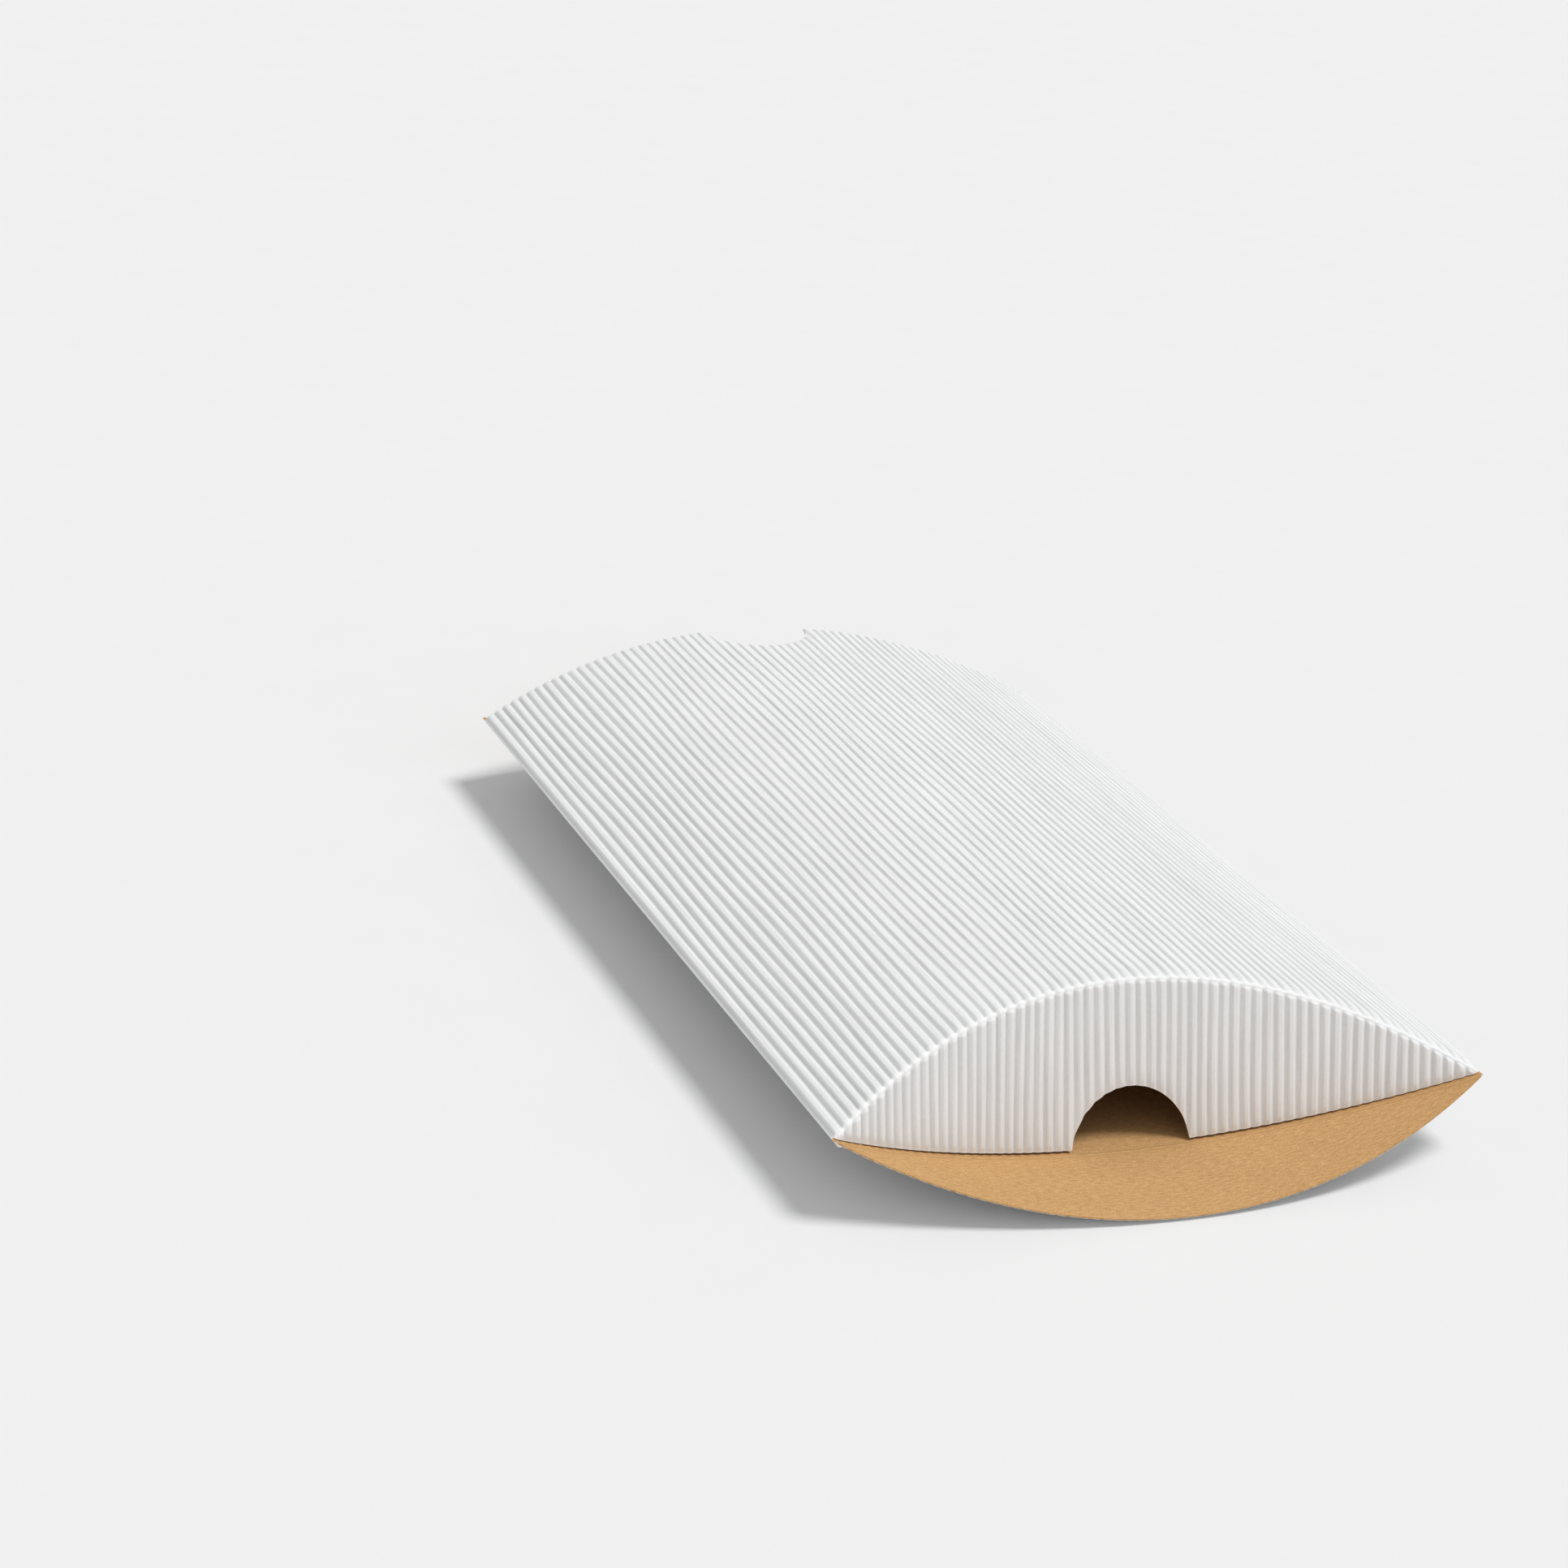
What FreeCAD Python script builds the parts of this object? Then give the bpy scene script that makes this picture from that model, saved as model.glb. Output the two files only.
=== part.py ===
import FreeCAD, Part
import math
import os

# Pillow box of single-face corrugated board, open at the back and folded at the front.
# X runs across the box, Y along it (front is -Y), Z is up, and the box lies on Z = 0.
# The smooth liner is inside, and the flutes are outside and run along Y.

# Driving dimensions: alias, value, meaning (millimetres, or a count)
SIZES = (
    ("box_width", 160, "side fold to side fold, on the liner"),
    ("box_length", 230, "top panel, tip to tip"),
    ("panel_rise", 18, "bow of each panel above the plane of the side folds"),
    ("liner_thickness", 0.3, "flat sheet of the board"),
    ("flute_height", 0.8, "fluted sheet, from the liner to the crests"),
    ("flap_strips", 9, "straight stretches that make up each curved score, an odd count"),
    ("strip_flutes", 7, "flutes on each stretch, an odd count"),
    ("inner_crease_depth", 24.5, "how far the score of an inner flap bows in from the tips"),
    ("inner_edge_gap", 0.5, "folded inner flap's edge to the facing liner, measured upright"),
    ("outer_edge_gap", 8.8, "folded outer flap's edge to the facing liner, measured upright"),
    ("closing_clearance", 0.4, "between the inner and outer flaps when both are folded"),
    ("score_clearance", 0.1, "between a flap and its panel along the score"),
    ("strip_clearance", 0.2, "between neighbouring stretches of a flap at the score"),
    ("notch_width", 30, "thumb notch, along the flap's edge"),
    ("notch_depth", 13.5, "thumb notch, into the flap"),
    ("tab_flutes", 5, "width of the glue tab, in flutes"),
    ("tab_setback", 15, "tips to the ends of the glue tab"),
    ("tab_taper", 6, "slant of the glue tab's ends"),
    ("glue_flutes", 3, "width of the glue line, in flutes"),
    ("glue_thickness", 0.15, "glue line between the tab and the bottom panel"),
    ("seat_clearance", 0.02, "flute crests of the tab to the glue line"),
)

# Chords that draw the arch of one flute, an odd count so that the crest is flat
FLUTE_CHORDS = 5
TOP = 1
BOTTOM = -1
ENDS = {"front": -1, "back": 1}

doc = FreeCAD.newDocument("pillow_box")
sheet = doc.addObject("Spreadsheet::Sheet", "sizes")
for row, (alias, value, meaning) in enumerate(SIZES, start=1):
    sheet.set(f"A{row}", alias)
    sheet.set(f"B{row}", str(value))
    sheet.setAlias(f"B{row}", alias)
    sheet.set(f"C{row}", meaning)
doc.recompute()


def size(alias):
    return float(sheet.get(alias))


# Section of a panel: an arc of the liner through both side folds and the crown
half_width = size("box_width") / 2
rise = size("panel_rise")
liner = size("liner_thickness")
board = liner + size("flute_height")
radius = (half_width**2 + rise**2) / (2 * rise)
half_angle = 2 * math.atan(rise / half_width)
mid_height = rise + board

strips = int(size("flap_strips"))
strip_flutes = int(size("strip_flutes"))
flutes = strips * strip_flutes
flute_angle = 2 * half_angle / flutes
strip_angle = strip_flutes * flute_angle
strip_width = 2 * radius * math.sin(strip_angle / 2)
flute_pitch = strip_width / strip_flutes

# The two scores of one end: each folded flap is its panel's own bow mirrored in the plane of the score.
# With these depths both mirrored flaps lean alike, so the outer one closes flat over the inner one.
inner_depth = size("inner_crease_depth")
outer_depth = rise**2 / inner_depth
lean = math.pi / 2 - 2 * math.atan(rise / inner_depth)
closing_allowance = (board + size("closing_clearance")) / math.cos(lean)
half_length = size("box_length") / 2

FLAPS = {
    "inner": {
        "side": TOP,
        "tip_line": half_length,
        "depth": inner_depth,
        "reach": (2 * rise - size("inner_edge_gap")) / math.cos(lean) - inner_depth,
        "notched": True,
    },
    "outer": {
        "side": BOTTOM,
        "tip_line": half_length + closing_allowance,
        "depth": outer_depth,
        "reach": (2 * rise - size("outer_edge_gap")) / math.cos(lean) - outer_depth,
        "notched": False,
    },
}
# Flaps that stand folded; the others lie open, straight on from their panels
FOLDED = (("front", "inner"),)


def bow(angle):
    """Height of the liner over the plane of the side folds, at an angle from the crown."""
    return radius * math.cos(angle) - (radius - rise)


def share(angle):
    """Bow at an angle as a share of the whole rise; scores and free edges follow it."""
    return bow(angle) / rise


def arch(along):
    """Height of a flute's arch above the liner, for 0 to 1 across the flute."""
    crest = math.sin(math.pi * (FLUTE_CHORDS - 1) / (2 * FLUTE_CHORDS))
    return size("flute_height") * min(1, math.sin(math.pi * along) / crest)


def face(points):
    return Part.Face(Part.makePolygon(points + points[:1]))


def feature(name, shape):
    item = doc.addObject("Part::Feature", name)
    item.Shape = shape
    return item


def extrusion(name, base, direction, forward, backward):
    item = doc.addObject("Part::Extrusion", name)
    item.Base = base
    item.DirMode = "Custom"
    item.Dir = direction
    item.Solid = True
    item.setExpression("LengthFwd", forward)
    item.setExpression("LengthRev", backward)
    return item


def boolean(kind, name, base, tool):
    item = doc.addObject(f"Part::{kind}", name)
    item.Base = base
    item.Tool = tool
    return item


# Panels

def ring_point(around, angle, side):
    """Point of the section at a radius and an angle from the crown."""
    height = around * math.cos(angle) - (radius - rise)
    return FreeCAD.Vector(around * math.sin(angle), 0, mid_height + side * height)


def fluted_arc(around, first, count, side):
    """Fluted outside of bent board, from the first flute's edge; around is the liner's inner radius."""
    points = []
    for step in range(count * FLUTE_CHORDS + 1):
        along = step / FLUTE_CHORDS
        height = arch(along % 1)
        points.append(ring_point(around + liner + height, first + along * flute_angle, side))
    return points


def smooth_arc(around, first, count, side):
    """Smooth inside of bent board, with one chord for each flute."""
    return [ring_point(around, first + step * flute_angle, side) for step in range(count + 1)]


def corner_angle(corner):
    """Angle from the crown to a corner between two straight stretches of a score."""
    return corner * strip_angle - half_angle


def score_line(flap, end):
    """Plan of one score: the corners of its straight stretches, from -X to +X."""
    points = []
    for corner in range(strips + 1):
        angle = corner_angle(corner)
        inset = flap["depth"] * share(angle)
        points.append(FreeCAD.Vector(radius * math.sin(angle), end * (flap["tip_line"] - inset), 0))
    return points


def panel(name, flap):
    """One bowed panel; both liners are mitred on the plane of the side folds, where they meet."""
    side = flap["side"]
    mitre = FreeCAD.Vector(half_width + liner / math.sin(half_angle), 0, mid_height)
    inside = smooth_arc(radius, -half_angle, flutes, side)
    outside = fluted_arc(radius, -half_angle, flutes, side)
    left_mitre = FreeCAD.Vector(-mitre.x, 0, mitre.z)
    section = feature(f"{name}_section", face(inside + [mitre] + outside[::-1] + [left_mitre]))
    sheet_run = extrusion(
        f"{name}_run", section, FreeCAD.Vector(0, 1, 0), "sizes.box_length", "sizes.box_length"
    )

    front = score_line(flap, ENDS["front"])
    back = score_line(flap, ENDS["back"])
    beyond = FreeCAD.Vector(half_width, 0, 0)
    plan = [front[0] - beyond] + front + [front[-1] + beyond]
    plan += [back[-1] + beyond] + back[::-1] + [back[0] - beyond]
    outline = feature(f"{name}_plan", face(plan))
    blank = extrusion(
        f"{name}_blank", outline, FreeCAD.Vector(0, 0, 1), "4 * sizes.panel_rise", "sizes.panel_rise"
    )
    cut = boolean("Common", f"{name}_cut", sheet_run, blank)
    cut.Label = name
    return cut


# Glue tab, which folds in from the top panel at +X and is glued to the bottom panel's liner

glue = size("glue_thickness")
tab_flutes = int(size("tab_flutes"))
glue_flutes = int(size("glue_flutes"))
corner_room = (board + glue + size("seat_clearance")) / math.sin(2 * half_angle)
tab_first = half_angle - (math.ceil(corner_room / flute_pitch) + tab_flutes) * flute_angle
glue_first = tab_first + (tab_flutes - glue_flutes) // 2 * flute_angle


def glue_tab():
    around = radius - glue - size("seat_clearance") - board
    inside = smooth_arc(around, tab_first, tab_flutes, BOTTOM)
    outside = fluted_arc(around, tab_first, tab_flutes, BOTTOM)
    section = feature("tab_section", face(inside + outside[::-1]))
    tab_run = extrusion(
        "tab_run", section, FreeCAD.Vector(0, 1, 0), "sizes.box_length / 2", "sizes.box_length / 2"
    )

    root = half_length - size("tab_setback")
    tip = root - size("tab_taper")
    edge = radius * math.sin(tab_first)
    plan = [
        FreeCAD.Vector(edge, -tip, 0),
        FreeCAD.Vector(half_width, -root, 0),
        FreeCAD.Vector(half_width, root, 0),
        FreeCAD.Vector(edge, tip, 0),
    ]
    outline = feature("tab_plan", face(plan))
    blank = extrusion(
        "tab_blank", outline, FreeCAD.Vector(0, 0, 1), "4 * sizes.panel_rise", "sizes.panel_rise"
    )
    cut = boolean("Common", "tab_cut", tab_run, blank)
    cut.Label = "glue_tab"
    return cut


def glue_line():
    upper = smooth_arc(radius - glue, glue_first, glue_flutes, BOTTOM)
    lower = smooth_arc(radius, glue_first, glue_flutes, BOTTOM)
    section = feature("glue_section", face(upper + lower[::-1]))
    reach = "sizes.box_length / 2 - sizes.tab_setback - sizes.tab_taper"
    run = extrusion("glue_run", section, FreeCAD.Vector(0, 1, 0), reach, reach)
    run.Label = "glue_line"
    return run


# Flaps: each curved score is a run of straight stretches, and each stretch carries its own strip of flap.
# A strip is drawn flat: x along its score, y outwards from the tip line, z through the board.

def strip_section():
    """Section of one strip: flat liner below, whole flutes above."""
    points = [FreeCAD.Vector(0, 0, 0), FreeCAD.Vector(strip_width, 0, 0)]
    for step in range(strip_flutes * FLUTE_CHORDS, -1, -1):
        along = step / FLUTE_CHORDS
        points.append(FreeCAD.Vector(along * flute_pitch, 0, liner + arch(along % 1)))
    return face(points)


def score_height(flap, corner):
    """Where a corner of the score lies on the flat flap, outwards from the tip line."""
    return -flap["depth"] * share(corner_angle(corner))


def score_vector(flap, strip):
    """One stretch of the score as it stands on the bowed panel, from its first corner to its second."""
    start = corner_angle(strip)
    end = corner_angle(strip + 1)
    return FreeCAD.Vector(
        radius * (math.sin(end) - math.sin(start)),
        score_height(flap, strip + 1) - score_height(flap, strip),
        bow(end) - bow(start),
    )


def fan_relief(flap, corner):
    """Half-way through the fold all strips lie in the plane of the score, which turns more there than
    on the flat sheet. This is the extra turn at one corner, shared by the two strips that meet there."""
    bent = score_vector(flap, corner - 1).getAngle(score_vector(flap, corner))
    before = score_height(flap, corner) - score_height(flap, corner - 1)
    after = score_height(flap, corner + 1) - score_height(flap, corner)
    flat = math.atan(before / strip_width) - math.atan(after / strip_width)
    return bent - abs(flat)


def strip_outline(flap, strip):
    """Flat outline of one strip: score, two drawn-in sides and its stretch of the free edge."""
    start = score_height(flap, strip)
    end = score_height(flap, strip + 1)
    slant = board * flap["depth"] / rise * math.sin(half_angle) * math.tan(half_angle)
    score_gap = size("score_clearance") + slant

    def free_edge(x):
        return flap["reach"] * share(corner_angle(strip) + strip_angle * x / strip_width)

    def side(corner, base):
        """Inset of a strip's side at the score and at the free edge."""
        if corner in (0, strips):
            return flute_pitch, flute_pitch
        near = size("strip_clearance") / 2
        length = free_edge(base) - score_height(flap, corner)
        return near, near + length * math.tan(fan_relief(flap, corner) / 2)

    left_near, left_far = side(strip, 0)
    right_near, right_far = side(strip + 1, strip_width)

    def score_point(x):
        return FreeCAD.Vector(x, start + (end - start) * x / strip_width + score_gap, 0)

    def edge_point(x):
        return FreeCAD.Vector(x, free_edge(x), 0)

    right_edge = strip_width - right_far
    points = [score_point(left_near), score_point(strip_width - right_near), edge_point(right_edge)]
    for flute in range(strip_flutes - 1, 0, -1):
        x = flute * flute_pitch
        if left_far < x < right_edge:
            points.append(edge_point(x))
    points.append(edge_point(left_far))
    return face(points)


def open_placement(flap, end, strip):
    """Place of a strip that lies open, straight on from its panel."""
    side = flap["side"]
    run = end * side
    start = corner_angle(strip)
    along = score_vector(flap, strip)
    x_axis = FreeCAD.Vector(run * along.x, 0, side * along.z).normalize()
    y_axis = FreeCAD.Vector(0, end, 0)
    origin = FreeCAD.Vector(
        run * radius * math.sin(start), end * flap["tip_line"], mid_height + side * bow(start)
    )
    turn = FreeCAD.Rotation(x_axis, y_axis, x_axis.cross(y_axis), "XYZ")
    return FreeCAD.Placement(origin, turn)


def fold_angle(flap, strip):
    """Turn about one stretch of the score that mirrors its strip in the plane of the score, in degrees."""
    axis = score_vector(flap, strip).normalize()
    outwards = FreeCAD.Vector(0, 1, 0)
    normal = FreeCAD.Vector(0, rise, flap["depth"]).normalize()
    mirrored = outwards - normal * (2 * outwards.dot(normal))
    flat_arm = outwards - axis * outwards.dot(axis)
    folded_arm = mirrored - axis * mirrored.dot(axis)
    return math.degrees(flat_arm.getAngle(folded_arm))


def fold_placement(flap, strip):
    """The fold of one strip about its score, towards the liner, in the strip's own flat frame."""
    start = FreeCAD.Vector(0, score_height(flap, strip), 0)
    end = FreeCAD.Vector(strip_width, score_height(flap, strip + 1), 0)
    turn = FreeCAD.Rotation(start - end, fold_angle(flap, strip))
    return FreeCAD.Placement(FreeCAD.Vector(0, 0, 0), turn, start)


def notch_tool(name, flap, strip):
    """Round cutter of the thumb notch, centred on the middle of the flap's edge."""
    tool = doc.addObject("Part::Cylinder", name)
    tool.setExpression(
        "Radius", "(sizes.notch_width^2 / 4 + sizes.notch_depth^2) / (2 * sizes.notch_depth)"
    )
    tool.setExpression("Height", "4 * (sizes.liner_thickness + sizes.flute_height)")
    round_radius = (size("notch_width") ** 2 / 4 + size("notch_depth") ** 2) / (2 * size("notch_depth"))
    middle = (strips / 2 - strip) * strip_width
    centre = flap["reach"] - size("notch_depth") + round_radius
    tool.Placement.Base = FreeCAD.Vector(middle, centre, -board)
    return tool


def notch_reaches(strip):
    middle = (strips / 2 - strip) * strip_width
    reach = size("notch_width") / 2
    return -reach < middle < strip_width + reach


def flap_strips(kind, board_run):
    """The strips of one kind of flap, at both ends of the box."""
    flap = FLAPS[kind]
    made = []
    for strip in range(strips):
        outline = feature(f"{kind}_outline_{strip + 1}", strip_outline(flap, strip))
        blank = extrusion(
            f"{kind}_blank_{strip + 1}",
            outline,
            FreeCAD.Vector(0, 0, 1),
            "2 * (sizes.liner_thickness + sizes.flute_height)",
            "sizes.liner_thickness",
        )
        for end_name, end in ENDS.items():
            name = f"{end_name}_{kind}_flap_{strip + 1}"
            item = boolean("Common", f"{name}_cut", board_run, blank)
            if flap["notched"] and notch_reaches(strip):
                tool = notch_tool(f"{name}_notch", flap, strip)
                item = boolean("Cut", f"{name}_notched", item, tool)
            item.Label = name
            item.Placement = open_placement(flap, end, strip)
            if (end_name, kind) in FOLDED:
                item.Placement = item.Placement.multiply(fold_placement(flap, strip))
            made.append(item)
    return made


pieces = [
    panel("top_panel", FLAPS["inner"]),
    panel("bottom_panel", FLAPS["outer"]),
    glue_tab(),
    glue_line(),
]
flap_section = feature("strip_section", strip_section())
longest = "sizes.inner_crease_depth + 2 * sizes.panel_rise"
flap_board = extrusion("strip_board", flap_section, FreeCAD.Vector(0, 1, 0), longest, longest)
for kind in FLAPS:
    pieces += flap_strips(kind, flap_board)

doc.recompute()
for item in doc.Objects:
    if "Invalid" in item.State or "Error" in item.State:
        raise RuntimeError(f"{item.Label} failed: {item.State}")
for item in pieces:
    if item.Shape.isNull() or not item.Shape.isValid() or len(item.Shape.Solids) != 1:
        raise RuntimeError(f"{item.Label} is not one sound solid")

os.makedirs("parts", exist_ok=True)
for item in pieces:
    item.Shape.exportStep(f"parts/{item.Label}.step")
print(f"{len(pieces)} pieces, {sum(item.Shape.Volume for item in pieces):.0f} mm3 of board")
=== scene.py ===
import math

import bmesh
import bpy
import numpy as np
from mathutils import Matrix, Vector


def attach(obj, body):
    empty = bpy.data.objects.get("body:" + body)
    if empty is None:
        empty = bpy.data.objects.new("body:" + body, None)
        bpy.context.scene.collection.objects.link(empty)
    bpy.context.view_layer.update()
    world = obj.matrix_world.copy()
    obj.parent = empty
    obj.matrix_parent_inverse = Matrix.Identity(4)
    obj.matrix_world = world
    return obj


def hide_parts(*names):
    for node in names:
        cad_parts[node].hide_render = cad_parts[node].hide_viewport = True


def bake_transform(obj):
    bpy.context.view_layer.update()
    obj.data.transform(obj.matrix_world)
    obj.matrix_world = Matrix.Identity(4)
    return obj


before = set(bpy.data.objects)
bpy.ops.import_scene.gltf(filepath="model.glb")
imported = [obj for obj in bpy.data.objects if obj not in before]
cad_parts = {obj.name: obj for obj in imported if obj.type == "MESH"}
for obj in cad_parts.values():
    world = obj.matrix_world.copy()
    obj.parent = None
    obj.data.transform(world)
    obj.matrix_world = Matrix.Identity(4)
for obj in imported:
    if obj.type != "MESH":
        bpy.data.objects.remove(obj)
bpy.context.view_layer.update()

# Driving sizes of the box, in metres and counts, the same as those of its solids
MM = 0.001
BOX_WIDTH = 160 * MM
BOX_LENGTH = 230 * MM
PANEL_RISE = 18 * MM
LINER = 0.3 * MM
FLUTE_HEIGHT = 0.8 * MM
STRIPS = 9
STRIP_FLUTES = 7
INNER_DEPTH = 24.5 * MM
INNER_EDGE_GAP = 0.5 * MM
OUTER_EDGE_GAP = 8.8 * MM
CLOSING_CLEARANCE = 0.4 * MM
NOTCH_WIDTH = 30 * MM
NOTCH_DEPTH = 13.5 * MM

# Sizes of the board that only the looks need
MEDIUM = 0.16 * MM                   # paper of the fluted sheet
TUNNEL_DEPTH = 7 * MM                # how far the open flutes are hollow, from a cut edge
TUNNEL_SHARE = 0.6                   # and the most that this may be of a flap's length
CREASE = 0.25 * MM                   # half width of the bent band along a score

# Flutes: the second group of values is given at the stations, and runs on evenly between them
VALLEY = 0.08                        # share of a flute's width that lies flat on the liner
CREST_ROUND = 0.2                    # how round the shoulders are, between flat crest and straight flank
CREST_JITTER = 0.05                  # how much the crest's share differs from flute to flute
CREST_BLEND = 5 * MM                 # how far from a folded score the panel's flutes change to the flap's
UNEVEN = 0.05                        # how much the flutes' heights differ
SLOW_DRIFT = 0.08                    # sideways drift of the flutes, in flutes
QUICK_DRIFT = 0.03
CALM_FLUTES = 4                      # flutes beside a side fold over which the drift fades in

STATIONS = (8, 20, 28, 46)           # flutes, counted from the left
CREST = (0.26, 0.54, 0.58, 0.42)     # share of a flute's width that is flat on top
VALLEY_SHADE = (1, 0.1, 0.3, 1)              # painted shade in the flute valleys: how much greyer the paper is made there
FLAP_VALLEY_SHADE = (1, 0.95, 0.7, 0.25)     # the same painted shade on a folded flap
VALLEY_SHADE_REACH = (0.65, 0.65, 0.8, 1.1)  # how far up a flank the painted shade goes, as a share of its height

# Scores: a pair of values is for the left and the right end of a score
SCORE_CRUSH = (0.3, 0.72)            # share of a flute's height that a folded score takes away
CRUSH_JITTER = (0.2, 0.08)           # how much that share differs from flute to flute
PANEL_CRUSH = (0.9 * MM, 1.7 * MM)   # how far the crushing runs from the score into the panel
FLAP_CRUSH = 0.55 * MM               # and into the flap
SCORE_JITTER = 0.12 * MM             # how far the crushed band strays at a flute
SCORE_HIGHLIGHT_REACH = 0.4 * MM                # half width of the painted highlight band along a folded score, where the paper is also partly worn paler
SCORE_BEAD = 0.16 * MM               # ridge that a score raises on the liner
BEAD_WIDTH = 0.35 * MM
BEAD_EDGE = 0.5 * MM                 # where the two painted shade marks beside that ridge lie
# width of each painted shade mark beside a score
SHADE_LINE_WIDTH = 0.22 * MM

# Waves over the sheet: length along the flutes, turns per flute, and start in turns
SLOW_WAVES = ((182 * MM, 0.033, 0), (107 * MM, -0.059, 0.2))
QUICK_WAVE = (50 * MM, 0.175, 0)
HEIGHT_WAVES = ((258 * MM, 0.382, 0), (-145 * MM, 0.207, 0))

# Waves from flute to flute: turns per flute, and start in turns
QUICK_GROUPS = (0.084, 0.1)
CREST_WAVE = (0.437, 0.3)
CRUSH_WAVE = (0.653, 0)
STRAY_WAVE = (0.291, 0.4)

# Mesh columns up one flank of a flute, as shares of its width, and rows along the flutes
FLANK_PLACES = np.array([0, 0.35, 0.7, 0.88, 1])
CREST_PLACE = 0.36
BEND_PLACES = np.array([-1, -0.6, -0.3, 0, 0.3, 0.6, 1]) * CREASE
SCORE_PLACES = np.array([0.4, 0.55, 0.75, 1, 1.8, 3.4]) * MM
EDGE_PLACES = np.array([1.6, 0.9, 0.4, 0]) * MM
PANEL_PLACES = np.array([0, 0.35, 0.8, 1.5, 2.6, 4.5]) * MM
FULL_FLAP = 8 * MM                   # a shorter flap, near a tip, has its rows closer together
FLAP_ROWS = 6
PANEL_ROWS = 34
BLEND_REACH = 0.88 * MM              # half width of a band across a strip's hinge
MERGE_REACH = 0.0002 * MM            # points this close become one
SLIVER = 0.0001 * MM                 # edges this short are dropped

TOP = 1
BOTTOM = -1
ENDS = {"front": -1, "back": 1}

half_width = BOX_WIDTH / 2
half_length = BOX_LENGTH / 2
radius = (half_width**2 + PANEL_RISE**2) / (2 * PANEL_RISE)
half_angle = 2 * math.atan(PANEL_RISE / half_width)
board = LINER + FLUTE_HEIGHT
mid_height = PANEL_RISE + board
flutes = STRIPS * STRIP_FLUTES
flute_angle = 2 * half_angle / flutes
pitch = 2 * radius * math.sin(STRIP_FLUTES * flute_angle / 2) / STRIP_FLUTES
outer_depth = PANEL_RISE**2 / INNER_DEPTH
lean = math.pi / 2 - 2 * math.atan(PANEL_RISE / INNER_DEPTH)
closing_allowance = (board + CLOSING_CLEARANCE) / math.cos(lean)
notch_radius = (NOTCH_WIDTH**2 / 4 + NOTCH_DEPTH**2) / (2 * NOTCH_DEPTH)

# A cut edge presses the flutes down by the share cut_crush, over the distance cut_reach
FLAPS = {
    "inner": {
        "side": TOP,
        "panel": "top_panel",
        "tip_line": half_length,
        "depth": INNER_DEPTH,
        "reach": (2 * PANEL_RISE - INNER_EDGE_GAP) / math.cos(lean) - INNER_DEPTH,
        "notched": True,
        "folded": ("front",),
        "cut_crush": 0.6,
        "cut_reach": 0.9 * MM,
    },
    "outer": {
        "side": BOTTOM,
        "panel": "bottom_panel",
        "tip_line": half_length + closing_allowance,
        "depth": outer_depth,
        "reach": (2 * PANEL_RISE - OUTER_EDGE_GAP) / math.cos(lean) - outer_depth,
        "notched": False,
        "folded": (),
        "cut_crush": 0.92,
        "cut_reach": 1.9 * MM,
    },
}


# Shape of the sheet: u counts flutes across it, from -X to +X, and y runs along the box

def smooth_step(t):
    t = np.clip(t, 0, 1)
    return t * t * (3 - 2 * t)


def angle_at(u):
    return u * flute_angle - half_angle


def share(u):
    """Bow of the liner at u, as a share of the whole rise."""
    return (radius * np.cos(angle_at(u)) - (radius - PANEL_RISE)) / PANEL_RISE


def liner_point(flap, u, y):
    """Inner face of the liner of a panel or an open flap."""
    height = flap["side"] * PANEL_RISE * share(u)
    return np.stack([radius * np.sin(angle_at(u)), y, mid_height + height], axis=-1)


def outward(flap, u):
    angle = angle_at(u)
    return np.stack([np.sin(angle), 0 * angle, flap["side"] * np.cos(angle)], axis=-1)


def score_place(flap, u):
    """Distance of the score from the middle of the box."""
    return flap["tip_line"] - flap["depth"] * share(u)


def flap_length(flap, u):
    """Length of a flap at u, from its score to its free edge or into the thumb notch."""
    edge = flap["reach"] * share(u)
    if flap["notched"]:
        across = (u - flutes / 2) * pitch
        drop = np.sqrt(np.maximum(notch_radius**2 - across**2, 0))
        notch = flap["reach"] - NOTCH_DEPTH + notch_radius - drop
        edge = np.where(np.abs(across) < NOTCH_WIDTH / 2, np.minimum(edge, notch), edge)
    return edge + flap["depth"] * share(u)


def cut_left(flap, u, distance):
    """What a cut edge leaves of a flute's height, at a distance beyond the score."""
    along = distance - flap["depth"] * share(u)
    gap = flap["reach"] * share(u) - along
    if flap["notched"]:
        across = (u - flutes / 2) * pitch
        centre = flap["reach"] - NOTCH_DEPTH + notch_radius
        gap = np.minimum(gap, np.hypot(across, along - centre) - notch_radius)
    return 1 - flap["cut_crush"] * np.exp(-((gap / flap["cut_reach"]) ** 2))


def flute_wave(u, turn, start):
    """Wave from flute to flute."""
    return np.sin(2 * math.pi * (turn * u + start))


def sheet_wave(u, y, length, turn, start):
    """Wave along the flutes, shifted from flute to flute."""
    return np.sin(2 * math.pi * (y / length + turn * u + start))


def wander(u, y):
    """Sideways drift of the flutes along the sheet, in flutes; none at the side folds."""
    slow = sum(sheet_wave(u, y, *shape) for shape in SLOW_WAVES)
    quick = sheet_wave(u, y, *QUICK_WAVE) * flute_wave(u, *QUICK_GROUPS)
    calm = smooth_step(u / CALM_FLUTES) * smooth_step((flutes - u) / CALM_FLUTES)
    return calm * (SLOW_DRIFT * slow + QUICK_DRIFT * quick)


def crest(number, folded):
    """Share of a flute's width that is flat on top; folded is 1 on a folded flap and 0 away from it."""
    mean = np.interp(number, STATIONS, CREST) * (1 - folded) + CREST[0] * folded
    return mean + CREST_JITTER * flute_wave(number, *CREST_WAVE)


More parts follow.
